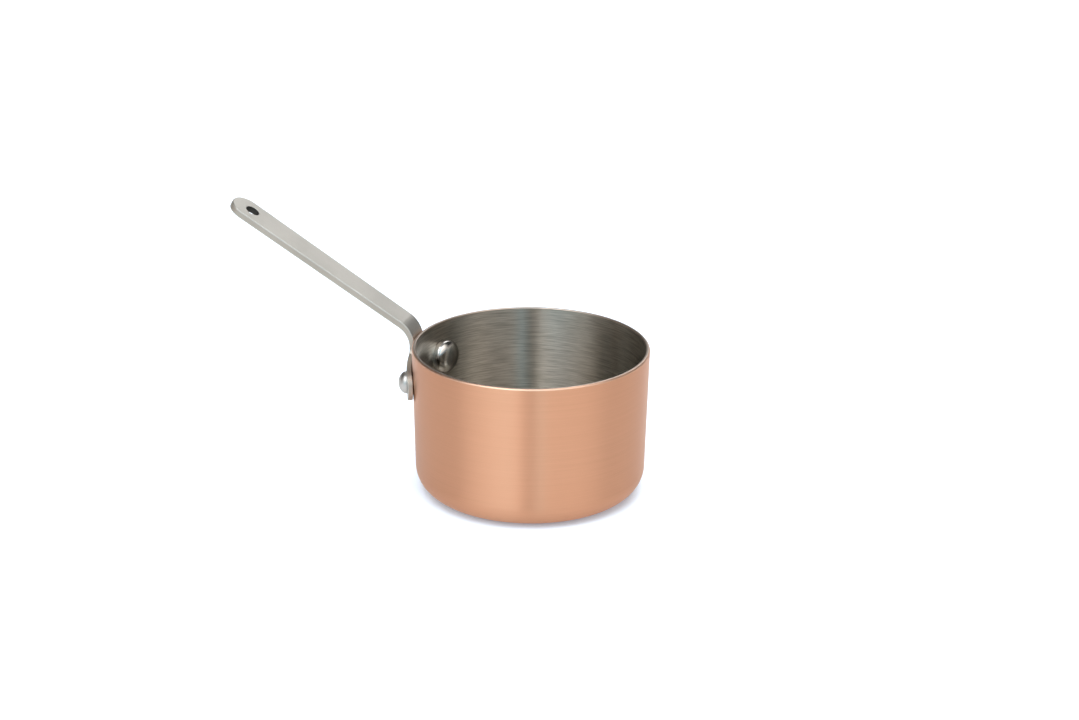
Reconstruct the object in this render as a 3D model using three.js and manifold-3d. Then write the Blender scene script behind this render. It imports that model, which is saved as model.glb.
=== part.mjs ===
// A small copper saucepan: a spun copper shell, its stainless lining, one bent strap handle
// and the two rivets that hold it. Millimetres, +Z up. The origin is the middle of the flat base,
// and the handle points along -X.
import * as THREE from "three";
import { mergeVertices } from "three/addons/utils/BufferGeometryUtils.js";
import Module from "manifold-3d";

const wasm = await Module();
wasm.setup();

const degrees = THREE.MathUtils.degToRad;

// Pan body
const PAN_HEIGHT = 57;
const RIM_RADIUS = 45;
const FOOT_RADIUS = 43.6; // where the wall line would meet the base plane
const CORNER_RADIUS = 9.9;
const COPPER_THICKNESS = 0.5;
const LINING_THICKNESS = 0.95;
const BOND_GAP = 0.05; // between the copper and its lining
const COPPER_CHAMFER = 0.3;
const LINING_CHAMFER = 0.3;
const BODY_SEGMENTS = 64;
const CORNER_STEPS = 3;

// Handle: a flat blank, wrapped to the wall at its flange and bent up and away above it
const STRAP_THICKNESS = 2; // of the flange
const GRIP_EXTRA = 0.7; // added to the pan-side face over the bend, so the grip is thicker
const WALL_GAP = 0.3; // between the flange and the wall
const FLANGE_BOTTOM = 35.9;
const FLANGE_HALF_WIDTH = 21.8; // along the curve
const FLANGE_END_RADIUS = 5.9;
const SHOULDER_SLOPE = degrees(15);
const ROOT_FILLET = 2;
const ROOT_HALF_WIDTH = 5.4;
const TIP_HALF_WIDTH = 6.4;
const BEND_START = 53.6;
const BEND_RADIUS = 10; // of the face on the pan's side
const GRIP_RISE = degrees(30.5);
const GRIP_LENGTH = 80.9; // from the end of the bend to the tip
const HANGING_HOLE_RADIUS = 2.75;
const HANGING_HOLE_FROM_TIP = 8.6;
const BLANK_COLUMNS = 12;
const ARC_STEPS = 6;

// Rivets
const RIVET_ANGLE = degrees(20.5); // each side of the handle
const RIVET_HEIGHT = 43;
const SHANK_RADIUS = 2.25;
const HOLE_CLEARANCE = 0.3;
const INNER_HEAD_RADIUS = 6.75;
const INNER_HEAD_HEIGHT = 3.8;
const OUTER_HEAD_RADIUS = 4.25;
const OUTER_HEAD_HEIGHT = 3;
const HEAD_GAP = 0.15; // between a head and what it holds down
const RIVET_SEGMENTS = 24;
const HEAD_STEPS = 3;

const LINING_INSET = COPPER_THICKNESS + BOND_GAP;
const WALL_THICKNESS = LINING_INSET + LINING_THICKNESS;
const WALL_TAPER = Math.atan((RIM_RADIUS - FOOT_RADIUS) / PAN_HEIGHT);
const GRIP_TILT = Math.PI / 2 - GRIP_RISE; // from the vertical
const WALL_LENGTH = BEND_START - FLANGE_BOTTOM;
const BEND_LENGTH = BEND_RADIUS * (GRIP_TILT - WALL_TAPER);
const GRIP_START = WALL_LENGTH + BEND_LENGTH;
const HANDLE_END = GRIP_START + GRIP_LENGTH;

function wallRadiusAt(height) {
  return FOOT_RADIUS + height * Math.tan(WALL_TAPER);
}

// A closed geometry as a solid: shared corners merged, collapsed triangles dropped.
function toSolid(geometry) {
  const bare = geometry.clone();
  bare.deleteAttribute("normal");
  bare.deleteAttribute("uv");
  const merged = mergeVertices(bare, 1e-4);
  const corners = merged.index.array;
  const triangles = [];
  for (let i = 0; i < corners.length; i += 3) {
    const [a, b, c] = corners.slice(i, i + 3);
    if (a !== b && b !== c && c !== a) {
      triangles.push(a, b, c);
    }
  }
  const vertProperties = new Float32Array(merged.attributes.position.array);
  const triVerts = new Uint32Array(triangles);
  return new wasm.Manifold(new wasm.Mesh({ numProp: 3, vertProperties, triVerts }));
}

function toGeometry(solid) {
  const mesh = solid.getMesh();
  const geometry = new THREE.BufferGeometry();
  geometry.setAttribute("position", new THREE.BufferAttribute(mesh.vertProperties, 3));
  geometry.setIndex(new THREE.BufferAttribute(mesh.triVerts, 1));
  geometry.computeVertexNormals();
  return geometry;
}

// The geometry with each tool's volume taken out of it.
function cut(geometry, tools) {
  let solid = toSolid(geometry);
  for (const tool of tools) {
    solid = solid.subtract(toSolid(tool));
  }
  return toGeometry(solid);
}

// Half of the pan's section, set in from the outside: base, rounded corner, wall and rim edge.
// A positive chamfer takes the edge off inwards, a negative one outwards.
function panSection(inset, chamfer) {
  const cornerCentre = wallRadiusAt(CORNER_RADIUS) - CORNER_RADIUS;
  const section = new THREE.Path();
  section.moveTo(0, inset);
  section.lineTo(cornerCentre, inset);
  section.absarc(cornerCentre, CORNER_RADIUS, CORNER_RADIUS - inset, -Math.PI / 2, 0);
  section.lineTo(RIM_RADIUS - inset, PAN_HEIGHT - Math.abs(chamfer));
  section.lineTo(RIM_RADIUS - inset - chamfer, PAN_HEIGHT);
  return section.getPoints(CORNER_STEPS);
}

// A pan spun from one sheet, between an outside and an inside section.
function spunPan(outside, inside) {
  const pan = new THREE.LatheGeometry([...outside, ...inside.reverse()], BODY_SEGMENTS);
  return pan.rotateX(Math.PI / 2);
}

// The blank's outline, from the flange's bottom edge to the tip, as rows of one half-width each.
function blankRows() {
  const rows = [];
  const addArc = (along, across, radius, from, to) => {
    for (let step = 0; step <= ARC_STEPS; step += 1) {
      const angle = THREE.MathUtils.lerp(from, to, step / ARC_STEPS);
      rows.push({
        along: along + radius * Math.sin(angle),
        halfWidth: across + radius * Math.cos(angle),
      });
    }
  };

  // The flange's rounded end, as far as the sloping shoulder
  const shoulderAngle = Math.PI / 2 - SHOULDER_SLOPE;
  const endAcross = FLANGE_HALF_WIDTH - FLANGE_END_RADIUS;
  addArc(FLANGE_END_RADIUS, endAcross, FLANGE_END_RADIUS, -Math.PI / 2, shoulderAngle);

  // The fillet between the shoulder and the strap
  const shoulder = rows.at(-1);
  const filletAcross = ROOT_HALF_WIDTH + ROOT_FILLET;
  const filletFoot = filletAcross - ROOT_FILLET * Math.sin(SHOULDER_SLOPE);
  const shoulderRise = (shoulder.halfWidth - filletFoot) * Math.tan(SHOULDER_SLOPE);
  const filletAlong = shoulder.along + shoulderRise + ROOT_FILLET * Math.cos(SHOULDER_SLOPE);
  addArc(filletAlong, filletAcross, ROOT_FILLET, Math.PI + shoulderAngle, Math.PI);

  // The bend, then the widening grip and its round tip
  for (let step = 0; step <= ARC_STEPS; step += 1) {
    rows.push({ along: WALL_LENGTH + BEND_LENGTH * (step / ARC_STEPS), halfWidth: ROOT_HALF_WIDTH });
  }
  addArc(HANDLE_END - TIP_HALF_WIDTH, 0, TIP_HALF_WIDTH, 0, Math.PI / 2);
  return rows;
}

// Where a point of the blank ends up: along it, across it and through it, from 0 at its pan-side
// face to 1 at the other.
function onHandle(along, across, through) {
  const bentBy = THREE.MathUtils.clamp(along - WALL_LENGTH, 0, BEND_LENGTH);
  const tilt = WALL_TAPER + bentBy / BEND_RADIUS;
  const depth = THREE.MathUtils.lerp(-GRIP_EXTRA * (bentBy / BEND_LENGTH), STRAP_THICKNESS, through);
  const onWall = FLANGE_BOTTOM + Math.min(along, WALL_LENGTH);
  const straight = Math.max(along - GRIP_START, 0);
  const radius = wallRadiusAt(onWall) + WALL_GAP;
  const bendOut = BEND_RADIUS * (Math.cos(WALL_TAPER) - Math.cos(tilt));
  const bendUp = BEND_RADIUS * (Math.sin(tilt) - Math.sin(WALL_TAPER));
  const out = radius + bendOut + straight * Math.sin(tilt) + depth * Math.cos(tilt);
  const up = onWall + bendUp + straight * Math.cos(tilt) - depth * Math.sin(tilt);

  // The wrap round the wall fades out over the bend
  const wrap = 1 - bentBy / BEND_LENGTH;
  const angle = across / (radius + STRAP_THICKNESS / 2);
  const wrappedAcross = (radius + depth) * Math.sin(angle);
  const setBack = wrap * (radius + depth) * (1 - Math.cos(angle));
  return new THREE.Vector3(setBack - out, -THREE.MathUtils.lerp(across, wrappedAcross, wrap), up);
}

function bentBlank() {
  const rows = blankRows();
  const blank = new THREE.BoxGeometry(2, rows.length - 1, 1, BLANK_COLUMNS, rows.length - 1, 1);
  blank.translate(0, (rows.length - 1) / 2, 0.5);
  const position = blank.attributes.position;
  for (let i = 0; i < position.count; i += 1) {
    const row = rows[Math.round(position.getY(i))];
    const across = position.getX(i) * row.halfWidth;
    const point = onHandle(row.along, across, position.getZ(i));
    position.setXYZ(i, point.x, point.y, point.z);
  }
  return blank;
}

// A drill through the wall and the flange, for the rivet on one side of the handle.
function rivetDrill(side) {
  const radius = SHANK_RADIUS + HOLE_CLEARANCE;
  const drill = new THREE.CylinderGeometry(radius, radius, RIM_RADIUS / 2, RIVET_SEGMENTS);
  drill.rotateZ(Math.PI / 2).translate(-RIM_RADIUS, 0, RIVET_HEIGHT);
  return drill.rotateZ(side * RIVET_ANGLE);
}

function hangingDrill() {
  const length = 4 * STRAP_THICKNESS;
  const drill = new THREE.CylinderGeometry(HANGING_HOLE_RADIUS, HANGING_HOLE_RADIUS, length, RIVET_SEGMENTS);
  const centre = onHandle(HANDLE_END - HANGING_HOLE_FROM_TIP, 0, 0.5);
  drill.rotateX(Math.PI / 2).rotateY(GRIP_RISE);
  return drill.translate(centre.x, centre.y, centre.z);
}

// A rivet lying along -X: a broad round head inside the pan, the shank, a small round head outside.
function rivetGeometry() {
  const liningRadius = wallRadiusAt(RIVET_HEIGHT) - WALL_THICKNESS;
  const headEdgeReach = Math.sqrt(liningRadius ** 2 - INNER_HEAD_RADIUS ** 2);
  const innerSeat = headEdgeReach - HEAD_GAP;
  const outerSeat = wallRadiusAt(RIVET_HEIGHT) + WALL_GAP + STRAP_THICKNESS + HEAD_GAP;
  const section = new THREE.Path();
  section.moveTo(0, innerSeat - INNER_HEAD_HEIGHT);
  section.absellipse(0, innerSeat, INNER_HEAD_RADIUS, INNER_HEAD_HEIGHT, -Math.PI / 2, 0);
  section.lineTo(SHANK_RADIUS, innerSeat);
  section.lineTo(SHANK_RADIUS, outerSeat);
  section.lineTo(OUTER_HEAD_RADIUS, outerSeat);
  section.absellipse(0, outerSeat, OUTER_HEAD_RADIUS, OUTER_HEAD_HEIGHT, 0, Math.PI / 2);
  const rivet = new THREE.LatheGeometry(section.getPoints(HEAD_STEPS), RIVET_SEGMENTS);
  return toGeometry(toSolid(rivet.rotateZ(Math.PI / 2)));
}

function metalPiece(name, geometry, color, roughness) {
  const material = new THREE.MeshStandardMaterial({ color, roughness, metalness: 1 });
  const piece = new THREE.Mesh(geometry, material);
  piece.name = name;
  return piece;
}

const wallDrills = [rivetDrill(-1), rivetDrill(1)];
const copperSheet = spunPan(panSection(0, COPPER_CHAMFER), panSection(COPPER_THICKNESS, 0));
const liningSheet = spunPan(panSection(LINING_INSET, 0), panSection(WALL_THICKNESS, -LINING_CHAMFER));

const saucepan = new THREE.Group();
saucepan.add(metalPiece("copper_shell", cut(copperSheet, wallDrills), 0xd9a483, 0.35));
saucepan.add(metalPiece("steel_lining", cut(liningSheet, wallDrills), 0xa8a49b, 0.3));
saucepan.add(metalPiece("handle", cut(bentBlank(), [...wallDrills, hangingDrill()]), 0xc6c3bb, 0.5));

for (const [name, side] of [["rivet_front", 1], ["rivet_back", -1]]) {
  const rivet = metalPiece(name, rivetGeometry(), 0xcfcdc8, 0.2);
  rivet.rotation.z = side * RIVET_ANGLE;
  rivet.position.z = RIVET_HEIGHT;
  saucepan.add(rivet);
}

export default saucepan;
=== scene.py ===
from math import acos, atan, ceil, cos, hypot, pi, radians, sin, sqrt, tan

import bpy
from mathutils import Matrix, Vector
from mathutils.geometry import delaunay_2d_cdt


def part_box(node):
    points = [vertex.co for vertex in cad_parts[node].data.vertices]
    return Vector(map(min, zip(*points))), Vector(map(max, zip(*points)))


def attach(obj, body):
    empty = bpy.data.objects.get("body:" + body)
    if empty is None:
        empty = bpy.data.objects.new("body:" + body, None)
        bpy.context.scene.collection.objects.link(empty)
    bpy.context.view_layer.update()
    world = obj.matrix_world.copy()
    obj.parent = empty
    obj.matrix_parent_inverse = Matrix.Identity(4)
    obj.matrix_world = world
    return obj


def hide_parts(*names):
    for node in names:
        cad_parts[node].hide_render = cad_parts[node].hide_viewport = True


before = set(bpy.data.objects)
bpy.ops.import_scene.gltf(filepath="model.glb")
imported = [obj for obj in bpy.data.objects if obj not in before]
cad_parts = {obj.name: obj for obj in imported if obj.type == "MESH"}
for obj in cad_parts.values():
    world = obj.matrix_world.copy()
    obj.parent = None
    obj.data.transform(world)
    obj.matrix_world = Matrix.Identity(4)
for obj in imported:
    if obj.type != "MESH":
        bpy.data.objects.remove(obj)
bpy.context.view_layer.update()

MM = 0.001

# Pan body
shell_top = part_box("copper_shell")[1]
RIM_RADIUS = shell_top.x / MM
PAN_HEIGHT = shell_top.z / MM
FOOT_RADIUS = 43.6
CORNER_RADIUS = 9.9
COPPER_THICKNESS = 0.5
WALL_THICKNESS = 1.5
RIM_OUTER_ROUND = 0.9
RIM_INNER_ROUND = 0.45
RIM_SEAM = acos((RIM_OUTER_ROUND - COPPER_THICKNESS) / RIM_OUTER_ROUND)
CORNER_STEP = 0.4
RIM_STEP = 0.06
SEEN_STEP = 1.0
HIDDEN_STEP = 4.0
SKIN_GAP = 0.02
WALL_TAPER = atan((RIM_RADIUS - FOOT_RADIUS) / PAN_HEIGHT)
TURNS = 360

# Handle
STRAP_THICKNESS = 2.0
GRIP_EXTRA = 0.7
STRAP_EDGE = 0.3
HOLE_EDGE = 0.12
WALL_GAP = 0.3
FLANGE_BOTTOM = 35.9
FLANGE_HALF_WIDTH = 21.8
FLANGE_END_RADIUS = 5.9
SHOULDER_SLOPE = radians(15)
ROOT_FILLET = 2.0
ROOT_HALF_WIDTH = 5.4
TIP_HALF_WIDTH = 6.4
BEND_START = 53.6
BEND_RADIUS = 10.0
GRIP_TILT = pi / 2 - radians(30.5)
GRIP_LENGTH = 80.9
HOLE_RADIUS = 2.75
HOLE_FROM_TIP = 8.6
WALL_LENGTH = BEND_START - FLANGE_BOTTOM
BEND_LENGTH = BEND_RADIUS * (GRIP_TILT - WALL_TAPER)
GRIP_START = WALL_LENGTH + BEND_LENGTH
HANDLE_END = GRIP_START + GRIP_LENGTH
GRID = 0.7
HOLE_STEP = 0.2
SLOPE_STEP = 0.01
EDGE_STEPS = 4

# Rivets
RIVET_ANGLE = radians(20.5)
RIVET_HEIGHT = 43.0
SHANK_RADIUS = 2.25
INNER_HEAD_RADIUS = 6.75
INNER_HEAD_HEIGHT = 3.8
OUTER_HEAD_RADIUS = 4.25
OUTER_HEAD_HEIGHT = 3.0
HEAD_GAP = 0.15
INNER_HEAD_SINK = 0.75
OUTER_HEAD_SINK = 0.4
INNER_HEAD_POWER = 2.7
HEAD_STEPS = 40
RIVET_STEP = 0.6
RIVET_TURNS = 96

# Camera: its direction and distance (mm) from the middle of the rim, its lens, and how its aim is off
VIEW_AZIMUTH = radians(17)
VIEW_ELEVATION = radians(20.36)
VIEW_DISTANCE = 943.6
LENS = 83.41
AIM_YAW = radians(-0.195)
AIM_PITCH = radians(0.32)
VIEW_ROLL = radians(0.5)


# ---------------------------------------------------------------- shapes


def wall_radius(height):
    """The pan's outside radius at a height on its tapered wall."""
    return FOOT_RADIUS + height * tan(WALL_TAPER)


def arc(centre, radius, start, end, step=0.12):
    """Points along an arc, both ends included; radius is a number or one for each axis."""
    rx, ry = radius if isinstance(radius, tuple) else (radius, radius)
    count = max(4, ceil(abs(end - start) * max(rx, ry) / step))
    turns = [start + (end - start) * i / count for i in range(count + 1)]
    return [(centre[0] + rx * cos(t), centre[1] + ry * sin(t)) for t in turns]


def joined(points, longest):
    """The polyline with no repeated points and no step longer than the given length."""
    result = [points[0]]
    for x, y in points[1:]:
        x0, y0 = result[-1]
        length = hypot(x - x0, y - y0)
        if length < 1e-6:
            continue
        count = ceil(length / longest)
        result += [(x0 + (x - x0) * i / count, y0 + (y - y0) * i / count) for i in range(1, count + 1)]
    return result


def new_piece(name, verts, faces, normals=None, finishes=None):
    """A smooth mesh object; finishes are the faces' material numbers."""
    mesh = bpy.data.meshes.new(name)
    mesh.from_pydata([Vector(v) * MM for v in verts], [], faces)
    mesh.update()
    mesh.shade_smooth()
    if normals:
        mesh.normals_split_custom_set_from_vertices([n.normalized() for n in normals])
    if finishes:
        mesh.polygons.foreach_set("material_index", finishes)
    piece = bpy.data.objects.new(name, mesh)
    bpy.context.scene.collection.objects.link(piece)
    return piece


def turned(section, turns, place=Matrix.Identity(4)):
    """Vertices and faces of a section of (radius, height) points turned about Z, then placed."""
    verts, faces, rings = [], [], []
    for radius, height in section:
        count = 1 if radius < 1e-6 else turns
        rings.append([len(verts) + i for i in range(count)])
        for i in range(count):
            angle = 2 * pi * i / turns
            verts.append(place @ Vector((radius * cos(angle), radius * sin(angle), height)))
    for lower, upper in zip(rings, rings[1:]):
        for i in range(turns):
            j = (i + 1) % turns
            below = lower[i % len(lower)], lower[j % len(lower)]
            above = upper[j % len(upper)], upper[i % len(upper)]
            faces.append(list(dict.fromkeys(below + above)))
    return verts, faces


def wall_section(inset):
    """Half the pan's section set in from the outside: base, rounded corner and start of the wall."""
    corner = wall_radius(CORNER_RADIUS) - CORNER_RADIUS
    points = [(0, inset)]
    points += arc((corner, CORNER_RADIUS), CORNER_RADIUS - inset, -pi / 2, 0, CORNER_STEP)
    return points


def rim_round(start, end):
    """Part of the rim's outer rounding, which the copper and the lining share."""
    centre = (RIM_RADIUS - RIM_OUTER_ROUND, PAN_HEIGHT - RIM_OUTER_ROUND)
    return arc(centre, RIM_OUTER_ROUND, start, end, RIM_STEP)


def copper_shell():
    """The copper outside, up to its seam with the lining on the rim, and its hidden inner skin."""
    outside = wall_section(0) + rim_round(0, RIM_SEAM)
    inside = wall_section(COPPER_THICKNESS) + [outside[-1]]
    section = joined(outside, SEEN_STEP) + joined(inside[::-1], HIDDEN_STEP)
    return turned(section, TURNS)


def steel_lining():
    """The steel inside and top of the rim, with a hidden outer skin just within the copper."""
    edge = RIM_INNER_ROUND
    outside = wall_section(COPPER_THICKNESS + SKIN_GAP)
    inner = RIM_RADIUS - WALL_THICKNESS
    crown = rim_round(RIM_SEAM, pi / 2)
    crown += arc((inner + edge, PAN_HEIGHT - edge), edge, pi / 2, pi, RIM_STEP)
    inside = wall_section(WALL_THICKNESS)[::-1]
    section = joined(outside, HIDDEN_STEP) + joined(crown + inside, SEEN_STEP)
    return turned(section, TURNS)


def on_handle(along, across, depth):
    """Where a point of the handle's flat blank ends up, once wrapped to the wall and bent."""
    bent = min(max(along - WALL_LENGTH, 0), BEND_LENGTH)
    share = bent / BEND_LENGTH
    tilt = WALL_TAPER + bent / BEND_RADIUS
    depth -= GRIP_EXTRA * share * (1 - depth / STRAP_THICKNESS)
    height = FLANGE_BOTTOM + min(along, WALL_LENGTH)
    straight = max(along - GRIP_START, 0)
    radius = wall_radius(height) + WALL_GAP
    bend_out = BEND_RADIUS * (cos(WALL_TAPER) - cos(tilt))
    bend_up = BEND_RADIUS * (sin(tilt) - sin(WALL_TAPER))
    out = radius + bend_out + straight * sin(tilt) + depth * cos(tilt)
    up = height + bend_up + straight * cos(tilt) - depth * sin(tilt)
    wrap = 1 - share * share * (3 - 2 * share)
    angle = across / (radius + STRAP_THICKNESS / 2)
    side = across + wrap * ((radius + depth) * sin(angle) - across)
    set_back = wrap * (radius + depth) * (1 - cos(angle))
    return Vector((set_back - out, -side, up))


def handle_outline():
    """One side of the blank's outline, from the middle of its bottom edge to the tip."""
    shoulder_angle = pi / 2 - SHOULDER_SLOPE
    end_across = FLANGE_HALF_WIDTH - FLANGE_END_RADIUS
    points = [(0.0, 0.0)]
    points += arc((FLANGE_END_RADIUS, end_across), FLANGE_END_RADIUS, pi, pi - (pi / 2 + shoulder_angle))
    shoulder = points[-1]
    fillet_across = ROOT_HALF_WIDTH + ROOT_FILLET
    foot = fillet_across - ROOT_FILLET * sin(SHOULDER_SLOPE)
    rise = (shoulder[1] - foot) * tan(SHOULDER_SLOPE)
    fillet_along = shoulder[0] + rise + ROOT_FILLET * cos(SHOULDER_SLOPE)
    points += arc((fillet_along, fillet_across), ROOT_FILLET, pi + SHOULDER_SLOPE, 3 * pi / 2)
    points += [(WALL_LENGTH, ROOT_HALF_WIDTH), (GRIP_START, ROOT_HALF_WIDTH)]
    points += arc((HANDLE_END - TIP_HALF_WIDTH, 0), TIP_HALF_WIDTH, pi / 2, 0)
    return points


def inset_loop(loop, distance):
    """The closed anticlockwise loop moved in by a distance, with its unit normals pointing out."""
    moved, normals = [], []
    for i, (x, y) in enumerate(loop):
        (x0, y0), (x1, y1) = loop[i - 1], loop[(i + 1) % len(loop)]
        tangent = Vector((x1 - x0, y1 - y0)).normalized()
        normal = Vector((tangent.y, -tangent.x))
        normals.append(normal)
        moved.append(Vector((x, y)) - normal * distance)
    return moved, normals


def bent_point(along, across, depth, direction):
    """Where a point of the blank ends up, and a direction there carried through the bending."""

    def slope(lengthwise, crosswise, inward):
        before = on_handle(along - lengthwise, across - crosswise, depth - inward)
        after = on_handle(along + lengthwise, across + crosswise, depth + inward)
        return (after - before) / (2 * SLOPE_STEP)

    ahead = slope(SLOPE_STEP, 0, 0)
    aside = slope(0, SLOPE_STEP, 0)
    inward = slope(0, 0, SLOPE_STEP)
    carried = aside.cross(inward) * direction[0]
    carried += inward.cross(ahead) * direction[1]
    carried += ahead.cross(aside) * direction[2]
    return on_handle(along, across, depth), carried * (1 if ahead.cross(aside).dot(inward) > 0 else -1)


def blank_face(border, hole, hole_centre):
    """The blank's flat face: its points, its triangles and, for each loop, how its edge starts."""
    flat, edges, starts = [], [], []
    for loop, rounding in ((border, STRAP_EDGE), (hole, HOLE_EDGE)):
        moved, normals = inset_loop(loop, rounding)
        first = len(flat)
        flat += moved
        edges += [(first + i, first + (i + 1) % len(loop)) for i in range(len(loop))]
        starts.append((loop, normals, rounding, range(first, first + len(loop))))
    outlines = list(flat)
    keep_off = 0.6 * GRID
    columns = int(FLANGE_HALF_WIDTH / GRID)
    for row in range(1, int(HANDLE_END / GRID)):
        for column in range(-columns, columns + 1):
            point = Vector((row * GRID, column * GRID))
            if all((point - p).length > keep_off for p in outlines):
                flat.append(point)
    points, _, triangles, sources, _, _ = delaunay_2d_cdt(flat, edges, [], 1, 1e-5)

    def clear_of_hole(triangle):
        middle = sum((points[i] for i in triangle), Vector((0, 0))) / len(triangle)
        return (middle - hole_centre).length > HOLE_RADIUS + HOLE_EDGE * 0.5

    index = {old: new for new, olds in enumerate(sources) for old in olds}
    sides = []
    for loop, normals, rounding, ring in starts:
        sides.append((loop, normals, rounding, [index[i] for i in ring]))
    return points, [triangle for triangle in triangles if clear_of_hole(triangle)], sides


def handle():
    """The strap with its hole: a flat blank with rounded edges, wrapped to the wall and bent."""
    half = handle_outline()
    whole = [(a, -b) for a, b in half] + [(a, b) for a, b in half[::-1]]
    border = joined(whole, GRID)
    if hypot(border[0][0] - border[-1][0], border[0][1] - border[-1][1]) < 1e-6:
        border.pop()
    hole_along = HANDLE_END - HOLE_FROM_TIP
    hole = arc((hole_along, 0), HOLE_RADIUS, 2 * pi, 0, HOLE_STEP)[:-1]
    points, triangles, sides = blank_face(border, hole, Vector((hole_along, 0)))
    verts, normals, faces, finishes = [], [], [], []

    def add(along, across, depth, direction):
        here, normal = bent_point(along, across, depth, direction)
        verts.append(here)
        normals.append(normal)
        return len(verts) - 1

    # The two flat faces: material 0
    faces_up = [add(p.x, p.y, 0, (0, 0, -1)) for p in points]
    faces_down = [add(p.x, p.y, STRAP_THICKNESS, (0, 0, 1)) for p in points]
    for triangle in triangles:
        faces.append([faces_up[i] for i in triangle])
        faces.append([faces_down[i] for i in triangle[::-1]])
        finishes += [0, 0]

    # Edges: a quarter round, the straight side (material 1, or 2 in the hole, near-black painted shade),
    # the other quarter
    turns = [pi / 2 * step / EDGE_STEPS for step in range(1, EDGE_STEPS + 1)]
    for side_finish, (loop, outward, edge, ring) in zip((1, 2), sides):
        rings = [(edge * (1 - sin(t)), edge * (1 - cos(t)), sin(t), -cos(t)) for t in turns]
        rings += [(inset, STRAP_THICKNESS - depth, out, -down) for inset, depth, out, down in rings[::-1]]
        layers = [[faces_up[i] for i in ring]]
        for inset, depth, outward_part, depth_part in rings:
            layer = []
            for (x, y), n in zip(loop, outward):
                direction = (n.x * outward_part, n.y * outward_part, depth_part)
                layer.append(add(x - n.x * inset, y - n.y * inset, depth, direction))
            layers.append(layer)
        layers.append([faces_down[i] for i in ring])
        for level, (upper, lower) in enumerate(zip(layers, layers[1:])):
            for i in range(len(loop)):
                j = (i + 1) % len(loop)
                faces.append([upper[j], upper[i], lower[i], lower[j]])
                finishes.append(side_finish if level == EDGE_STEPS else 0)
    return verts, faces, normals, finishes


def rivet(side):
    """A rivet lying across the wall: polished inner head, shank and small outer head."""
    lining_radius = wall_radius(RIVET_HEIGHT) - WALL_THICKNESS
    inner_seat = sqrt(lining_radius**2 - INNER_HEAD_RADIUS**2) - HEAD_GAP
    outer_seat = wall_radius(RIVET_HEIGHT) + WALL_GAP + STRAP_THICKNESS + HEAD_GAP
    turns = [pi / 2 * i / HEAD_STEPS for i in range(HEAD_STEPS + 1)]
    section = []
    for turn in turns:
        reach = INNER_HEAD_RADIUS * sin(turn) ** (2 / INNER_HEAD_POWER)
        rise = INNER_HEAD_HEIGHT * max(cos(turn), 0) ** (2 / INNER_HEAD_POWER)
        section.append((reach, inner_seat - rise))
    section.append((INNER_HEAD_RADIUS, inner_seat + INNER_HEAD_SINK))
    section.append((SHANK_RADIUS, inner_seat + INNER_HEAD_SINK))
    section.append((SHANK_RADIUS, outer_seat - OUTER_HEAD_SINK))
    section.append((OUTER_HEAD_RADIUS, outer_seat - OUTER_HEAD_SINK))
    for turn in turns:
        section.append((OUTER_HEAD_RADIUS * cos(turn), outer_seat + OUTER_HEAD_HEIGHT * sin(turn)))
    section[0] = (0, section[0][1])
    section[-1] = (0, section[-1][1])
    place = Matrix.Rotation(side * RIVET_ANGLE, 4, "Z") @ Matrix.Translation((0, 0, RIVET_HEIGHT))
    place = place @ Matrix.Rotation(-pi / 2, 4, "Y")
    return turned(joined(section, RIVET_STEP), RIVET_TURNS, place)


# ---------------------------------------------------------------- materials


class Nodes:
    """A short way to write a node tree."""

    def __init__(self, tree):
        self.tree = tree
        tree.nodes.clear()

    def add(self, kind, inputs=None, **settings):
        node = self.tree.nodes.new(kind)
        for key, value in settings.items():
            setattr(node, key, value)
        for key, value in (inputs or {}).items():
            self.plug(node.inputs[key], value)
        return node

    def plug(self, socket, value):
        if isinstance(value, bpy.types.NodeSocket):
            self.tree.links.new(value, socket)
        elif isinstance(value, bpy.types.Node):
            self.tree.links.new(value.outputs[0], socket)
        else:
            socket.default_value = value

    def math(self, operation, *values):
        node = self.add("ShaderNodeMath", operation=operation)
        for i, value in enumerate(values):
            self.plug(node.inputs[i], value)
        return node.outputs[0]

    def mix(self, factor, a, b):
        node = self.add("ShaderNodeMix", data_type="RGBA")
        for i, value in ((0, factor), (6, a), (7, b)):
            self.plug(node.inputs[i], value)
        return node.outputs[2]

    def lerp(self, factor, a, b):
        node = self.add("ShaderNodeMix", data_type="FLOAT")
        for i, value in ((0, factor), (2, a), (3, b)):
            self.plug(node.inputs[i], value)
        return node.outputs[0]

    def smooth(self, value, low, high, out_low=0.0, out_high=1.0):
        node = self.add("ShaderNodeMapRange", interpolation_type="SMOOTHSTEP")
        for i, x in enumerate((value, low, high, out_low, out_high)):
            self.plug(node.inputs[i], x)
        return node.outputs[0]

    def noise(self, vector, scale, detail, roughness):
        inputs = {"Vector": vector, "Scale": scale, "Detail": detail, "Roughness": roughness}
        return self.add("ShaderNodeTexNoise", inputs).outputs["Fac"]


def colour(red, green, blue):
    """A linear colour with full alpha."""
    return (red, green, blue, 1.0)


def new_material(name):
    material = bpy.data.materials.new(name)
    material.use_nodes = True
    return material, Nodes(material.node_tree)


def finish_material(nodes, shader):
    nodes.add("ShaderNodeOutputMaterial", {"Surface": shader})


def object_place(nodes):
    """The point in the pan's own frame, then its x, y and z."""
    place = nodes.add("ShaderNodeTexCoord").outputs["Object"]
    return place, *nodes.add("ShaderNodeSeparateXYZ", {"Vector": place}).outputs


def from_axis(nodes, x, y):
    """Distance from the pan's axis."""
    squares = nodes.math("ADD", nodes.math("MULTIPLY", x, x), nodes.math("MULTIPLY", y, y))
    return nodes.math("SQRT", squares)


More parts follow.
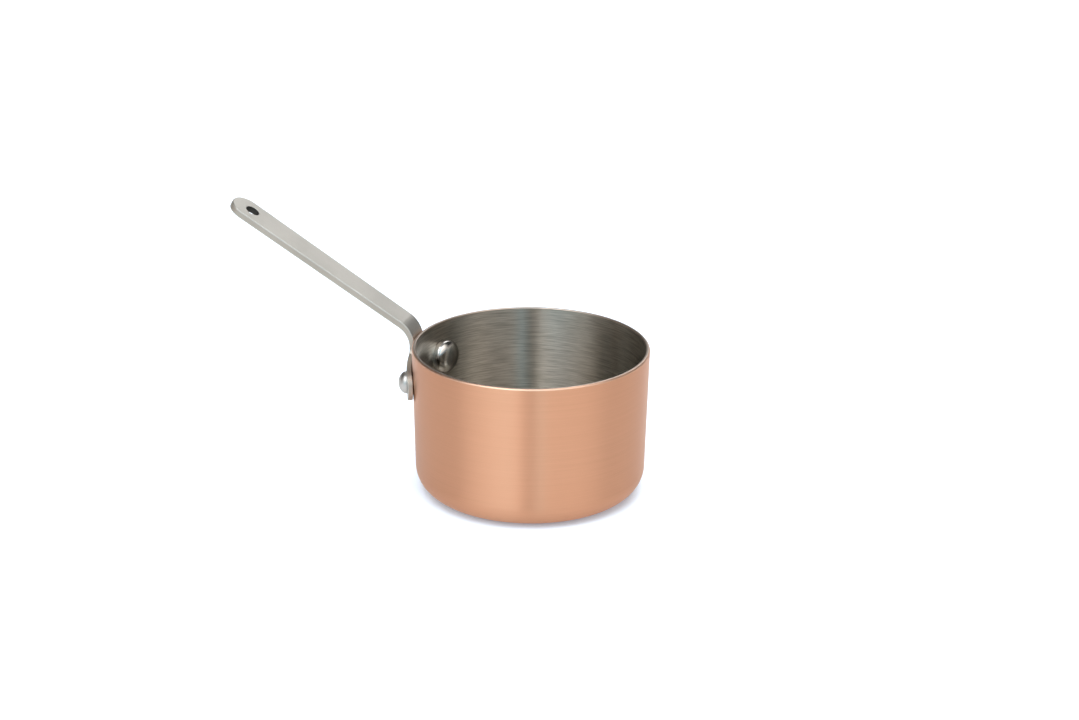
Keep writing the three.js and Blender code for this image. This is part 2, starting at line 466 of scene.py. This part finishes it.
def ring_noise(nodes, around, across, detail, roughness):
    """Noise stretched into rings about the pan's axis: slow round it, quick along the wall."""
    _, x, y, z = object_place(nodes)
    along_wall = nodes.math("ADD", from_axis(nodes, x, y), z)
    parts = [(x, around), (y, around), (along_wall, across)]
    scaled = {i: nodes.math("MULTIPLY", part, scale) for i, (part, scale) in enumerate(parts)}
    return nodes.noise(nodes.add("ShaderNodeCombineXYZ", scaled), 1.0, detail, roughness)


def rim_mask(nodes, start, end):
    """From 0 to 1 between two depths below the top of the rim."""
    z = object_place(nodes)[3]
    return nodes.smooth(z, (PAN_HEIGHT - start) * MM, (PAN_HEIGHT - end) * MM)


def add_brushed_shader(nodes, base, roughness, rim, bump):
    """Metal brushed round the pan, which smears reflections up and down, except on the rim."""
    tangent = nodes.add("ShaderNodeTangent", direction_type="RADIAL", axis="Z")
    shader = nodes.add(
        "ShaderNodeBsdfPrincipled",
        {
            "Base Color": base,
            "Metallic": 1.0,
            "Roughness": roughness,
            "Anisotropic": nodes.lerp(rim, 1.0, 0.1),
            "Anisotropic Rotation": 0.25,
            "Tangent": tangent.outputs[0],
            "Normal": bump,
        },
    )
    finish_material(nodes, shader)


def copper_material():
    material, nodes = new_material("brushed_copper")
    fine = ring_noise(nodes, 25.0, 4500.0, 3.0, 0.6)
    coarse = ring_noise(nodes, 12.0, 900.0, 3.0, 0.6)
    patches = ring_noise(nodes, 18.0, 60.0, 2.0, 0.5)
    lines = nodes.lerp(0.25, fine, coarse)
    rim = rim_mask(nodes, 0.85, 0.5)
    base = nodes.mix(nodes.smooth(lines, 0.3, 0.7), colour(0.72, 0.375, 0.232), colour(0.77, 0.405, 0.255))
    base = nodes.mix(nodes.smooth(patches, 0.3, 0.7, 0.0, 0.2), base, colour(0.77, 0.385, 0.235))
    base = nodes.mix(nodes.math("MULTIPLY", rim, 0.8), base, colour(0.82, 0.54, 0.4))
    roughness = nodes.lerp(rim, nodes.smooth(lines, 0.25, 0.75, 0.34, 0.39), 0.4)
    strength = nodes.lerp(rim, 0.05, 0.01)
    bump = nodes.add("ShaderNodeBump", {"Strength": strength, "Distance": 0.00002, "Height": lines})
    add_brushed_shader(nodes, base, roughness, rim, bump)
    return material


def lining_material():
    material, nodes = new_material("brushed_lining")
    fine = ring_noise(nodes, 120.0, 3600.0, 2.0, 0.6)
    coarse = ring_noise(nodes, 70.0, 1500.0, 3.0, 0.65)
    lines = nodes.lerp(0.4, fine, coarse)
    rim = rim_mask(nodes, 0.7, 0.4)
    tone = nodes.smooth(lines, 0.34, 0.66)
    base = nodes.mix(tone, colour(0.388, 0.356, 0.312), colour(0.61, 0.567, 0.502))
    base = nodes.mix(rim, base, colour(0.60, 0.50, 0.43))
    roughness = nodes.lerp(rim, nodes.smooth(lines, 0.3, 0.7, 0.31, 0.35), 0.34)
    strength = nodes.lerp(rim, 0.06, 0.02)
    bump = nodes.add("ShaderNodeBump", {"Strength": strength, "Distance": 0.00003, "Height": lines})
    add_brushed_shader(nodes, base, roughness, rim, bump)
    return material


# Satin steel's darker and lighter patches
SATIN_TONES = (0.52, 0.505, 0.47), (0.57, 0.552, 0.515)

# The handle's finishes: name, share of each colour that it reflects, roughness
HANDLE_FINISHES = [
    ("satin_steel", (1.0, 1.0, 1.0), 0.49),
    ("cut_steel", (0.9, 0.84, 0.79), 0.5),
    # The third finish, on the hole's wall, is near black: painted shade inside the hole
    ("hole_painted_shade", (0.12, 0.12, 0.12), 0.6),
]


def satin_material(name, share, roughness):
    """Satin steel that reflects a share of each colour of the usual finish."""
    material, nodes = new_material(name)
    place = nodes.add("ShaderNodeTexCoord").outputs["Object"]
    grain = nodes.noise(place, 2600.0, 2.0, 0.6)
    cloud = nodes.noise(place, 60.0, 3.0, 0.5)
    dark, light = [colour(*(a * b for a, b in zip(share, tone))) for tone in SATIN_TONES]
    base = nodes.mix(nodes.smooth(cloud, 0.3, 0.7), dark, light)
    bump = nodes.add("ShaderNodeBump", {"Strength": 0.12, "Distance": 0.0001, "Height": grain})
    shader = nodes.add(
        "ShaderNodeBsdfPrincipled",
        {
            "Base Color": base,
            "Metallic": 1.0,
            "Roughness": nodes.smooth(grain, 0.2, 0.8, roughness - 0.07, roughness + 0.07),
            "Normal": bump,
        },
    )
    finish_material(nodes, shader)
    return material


def polished_material():
    """Polished steel on the rivets' inner heads, and a duller finish on the outer ones."""
    material, nodes = new_material("polished_steel")
    place, x, y, _ = object_place(nodes)
    outside = nodes.smooth(from_axis(nodes, x, y), (RIM_RADIUS - 1.0) * MM, (RIM_RADIUS + 0.5) * MM)
    wear = nodes.noise(place, 420.0, 4.0, 0.6)
    grain = nodes.noise(place, 1800.0, 3.0, 0.6)
    tone = nodes.smooth(wear, 0.3, 0.7)
    base = nodes.mix(tone, colour(0.50, 0.485, 0.46), colour(0.58, 0.565, 0.545))
    roughness = nodes.lerp(outside, nodes.smooth(wear, 0.3, 0.7, 0.15, 0.23), 0.4)
    strength = nodes.lerp(outside, 0.02, 0.12)
    bump = nodes.add("ShaderNodeBump", {"Strength": strength, "Distance": 0.0001, "Height": grain})
    shader = nodes.add(
        "ShaderNodeBsdfPrincipled",
        {"Base Color": base, "Metallic": 1.0, "Roughness": roughness, "Normal": bump},
    )
    finish_material(nodes, shader)
    return material


def floor_material():
    """A pale sheet, near white to the camera and dimmer where the metal mirrors it."""
    material, nodes = new_material("white_floor")
    camera_ray = nodes.add("ShaderNodeLightPath").outputs["Is Camera Ray"]
    tone = nodes.mix(camera_ray, colour(0.36, 0.37, 0.38), colour(0.70, 0.78, 0.86))
    shine = nodes.mix(camera_ray, colour(0.34, 0.34, 0.34), colour(0.145, 0.165, 0.20))
    sheet = nodes.add("ShaderNodeBsdfDiffuse", {"Color": tone})
    glow = nodes.add("ShaderNodeEmission", {"Color": shine, "Strength": 1.0})
    finish_material(nodes, nodes.add("ShaderNodeAddShader", {0: sheet, 1: glow}))
    return material


# ---------------------------------------------------------------- the pan


def ready(piece, node, slot, *materials):
    """Gives a piece its materials and lets it stand for a CAD node."""
    for material in materials:
        piece.data.materials.append(material)
    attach(piece, "root")
    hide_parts(node)


ready(new_piece("copper_body", *copper_shell()), "copper_shell", "copper", copper_material())
ready(new_piece("lining", *steel_lining()), "steel_lining", "lining_steel", lining_material())
handle_materials = [satin_material(*finish) for finish in HANDLE_FINISHES]
ready(new_piece("strap_handle", *handle()), "handle", "handle_steel", *handle_materials)
polished = polished_material()
ready(new_piece("front_rivet", *rivet(1)), "rivet_front", "rivet_steel", polished)
ready(new_piece("back_rivet", *rivet(-1)), "rivet_back", "rivet_steel", polished)

# ---------------------------------------------------------------- studio

FLOOR_HALF = 4.0
FLOOR_DROP = 0.0001
LAMP_POWER = 3.2
LAMP_ANGLE = radians(70)


def pale_floor():
    """A wide sheet just below the pan's base."""
    mesh = bpy.data.meshes.new("floor")
    corners = [(-1, -1), (1, -1), (1, 1), (-1, 1)]
    verts = [(x * FLOOR_HALF, y * FLOOR_HALF, -FLOOR_DROP) for x, y in corners]
    mesh.from_pydata(verts, [], [(0, 1, 2, 3)])
    mesh.materials.append(floor_material())
    floor = bpy.data.objects.new("floor", mesh)
    bpy.context.scene.collection.objects.link(floor)


# Brightness of the surroundings by azimuth: degrees to the right of the studio's front, then colour.
# The low band is near the horizon, and the high band starts about 20 degrees up.
LOW_BAND = [
    (-180, 0.50, 0.50, 0.50),
    (-165, 0.42, 0.41, 0.40),
    (-150, 0.08, 0.08, 0.08),
    (-120, 0.26, 0.23, 0.21),
    (-100, 0.48, 0.42, 0.38),
    (-75, 0.57, 0.52, 0.50),
    (-45, 0.36, 0.62, 0.74),
    (-20, 0.06, 0.60, 0.86),
    (-9, 0.40, 0.49, 0.55),
    (-6, 0.54, 0.53, 0.52),
    (6, 0.54, 0.53, 0.52),
    (9, 0.42, 0.50, 0.56),
    (30, 0.16, 0.33, 0.43),
    (70, 0.42, 0.45, 0.47),
    (95, 0.58, 0.53, 0.48),
    (115, 0.38, 0.35, 0.32),
    (130, 0.12, 0.12, 0.12),
    (145, 0.12, 0.12, 0.12),
    (152, 0.24, 0.24, 0.24),
    (163, 0.36, 0.36, 0.36),
    (180, 0.50, 0.50, 0.50),
]
HIGH_BAND = [
    (-180, 0.15, 0.15, 0.15),
    (-150, 0.05, 0.05, 0.05),
    (-90, 0.05, 0.05, 0.05),
    (-78, 0.10, 0.10, 0.10),
    (-66, 1.75, 1.74, 1.72),
    (-30, 2.62, 2.76, 2.84),
    (-11, 2.42, 2.52, 2.58),
    (-7, 0.42, 0.42, 0.42),
    (5, 0.36, 0.36, 0.36),
    (8, 1.45, 2.25, 2.70),
    (13, 1.45, 2.15, 2.50),
    (17, 1.55, 1.51, 1.45),
    (66, 1.50, 1.43, 1.35),
    (90, 0.05, 0.05, 0.05),
    (142, 0.05, 0.05, 0.05),
    (147, 2.00, 2.00, 2.00),
    (163, 2.00, 2.00, 2.00),
    (172, 0.15, 0.15, 0.15),
    (180, 0.15, 0.15, 0.15),
]

# Elevations between which the low band turns into the high one, the surroundings brighten
# towards the ceiling, and the ceiling's dim patch sets in
BAND_CHANGE = sin(radians(11)), sin(radians(27))
BRIGHTENING = sin(radians(25)), sin(radians(65))
CEILING_PATCH = sin(radians(66)), sin(radians(78))


def azimuth_ramp(nodes, position, stops):
    """A band's colour at a position from 0 to 1 round the horizon."""
    ramp = nodes.add("ShaderNodeValToRGB", {"Fac": position})
    elements = ramp.color_ramp.elements
    while len(elements) < len(stops):
        elements.new(0.5)
    for element, (azimuth, *rgb) in zip(elements, stops):
        element.position = 0.5 + azimuth / 360
        element.color = colour(*rgb)
    return ramp.outputs[0]


def studio_world():
    """Soft surroundings: brightness by azimuth and elevation, and plain white to the camera."""
    world = bpy.data.worlds.new("studio")
    world.use_nodes = True
    nodes = Nodes(world.node_tree)
    direction = nodes.add("ShaderNodeTexCoord").outputs["Generated"]
    front = (sin(VIEW_AZIMUTH), -cos(VIEW_AZIMUTH), 0)
    right = (cos(VIEW_AZIMUTH), sin(VIEW_AZIMUTH), 0)
    across, towards = [
        nodes.add("ShaderNodeVectorMath", {0: direction, 1: axis}, operation="DOT_PRODUCT").outputs["Value"]
        for axis in (right, front)
    ]
    azimuth = nodes.math("ARCTAN2", across, towards)
    position = nodes.math("ADD", nodes.math("DIVIDE", azimuth, 2 * pi), 0.5)
    low = azimuth_ramp(nodes, position, LOW_BAND)
    high = azimuth_ramp(nodes, position, HIGH_BAND)
    lift = nodes.add("ShaderNodeSeparateXYZ", {"Vector": direction}).outputs[2]
    seen = nodes.mix(nodes.smooth(lift, *BAND_CHANGE), low, high)
    rise = nodes.smooth(lift, *BRIGHTENING, 1.0, 1.6)
    seen = nodes.add("ShaderNodeVectorMath", {0: seen, "Scale": rise}, operation="SCALE").outputs[0]
    seen = nodes.mix(nodes.smooth(lift, *CEILING_PATCH), seen, colour(0.4, 0.4, 0.4))
    camera_ray = nodes.add("ShaderNodeLightPath").outputs["Is Camera Ray"]
    seen = nodes.mix(camera_ray, seen, colour(1.0, 1.0, 1.0))
    background = nodes.add("ShaderNodeBackground", {"Color": seen, "Strength": 1.0})
    nodes.add("ShaderNodeOutputWorld", {"Surface": background})
    bpy.context.scene.world = world


def overhead_lamp():
    """A soft lamp straight overhead, which lights the floor and isn't mirrored in the metal."""
    data = bpy.data.lights.new("overhead", "SUN")
    data.angle = LAMP_ANGLE
    data.energy = LAMP_POWER
    lamp = bpy.data.objects.new("overhead", data)
    lamp.visible_glossy = False
    bpy.context.scene.collection.objects.link(lamp)


def camera():
    """Aimed close to the middle of the rim, from the studio's front, as the photo was fitted."""
    data = bpy.data.cameras.new("camera")
    data.sensor_width = 36.0
    data.lens = LENS
    data.clip_start = 0.01
    data.clip_end = 50.0
    piece = bpy.data.objects.new("camera", data)
    bpy.context.scene.collection.objects.link(piece)
    level = cos(VIEW_ELEVATION)
    back = Vector((sin(VIEW_AZIMUTH) * level, -cos(VIEW_AZIMUTH) * level, sin(VIEW_ELEVATION)))
    rim_centre = Vector((0, 0, PAN_HEIGHT * MM))
    facing = (-back).to_track_quat("-Z", "Y").to_matrix().to_4x4()
    aim = Matrix.Rotation(VIEW_ROLL, 4, "Z") @ Matrix.Rotation(-AIM_PITCH, 4, "X")
    aim = aim @ Matrix.Rotation(AIM_YAW, 4, "Y")
    piece.matrix_world = Matrix.Translation(rim_centre + back * VIEW_DISTANCE * MM) @ facing @ aim
    return piece


pale_floor()
studio_world()
overhead_lamp()
bpy.context.scene.camera = camera()
bpy.context.scene.view_settings.view_transform = "Standard"
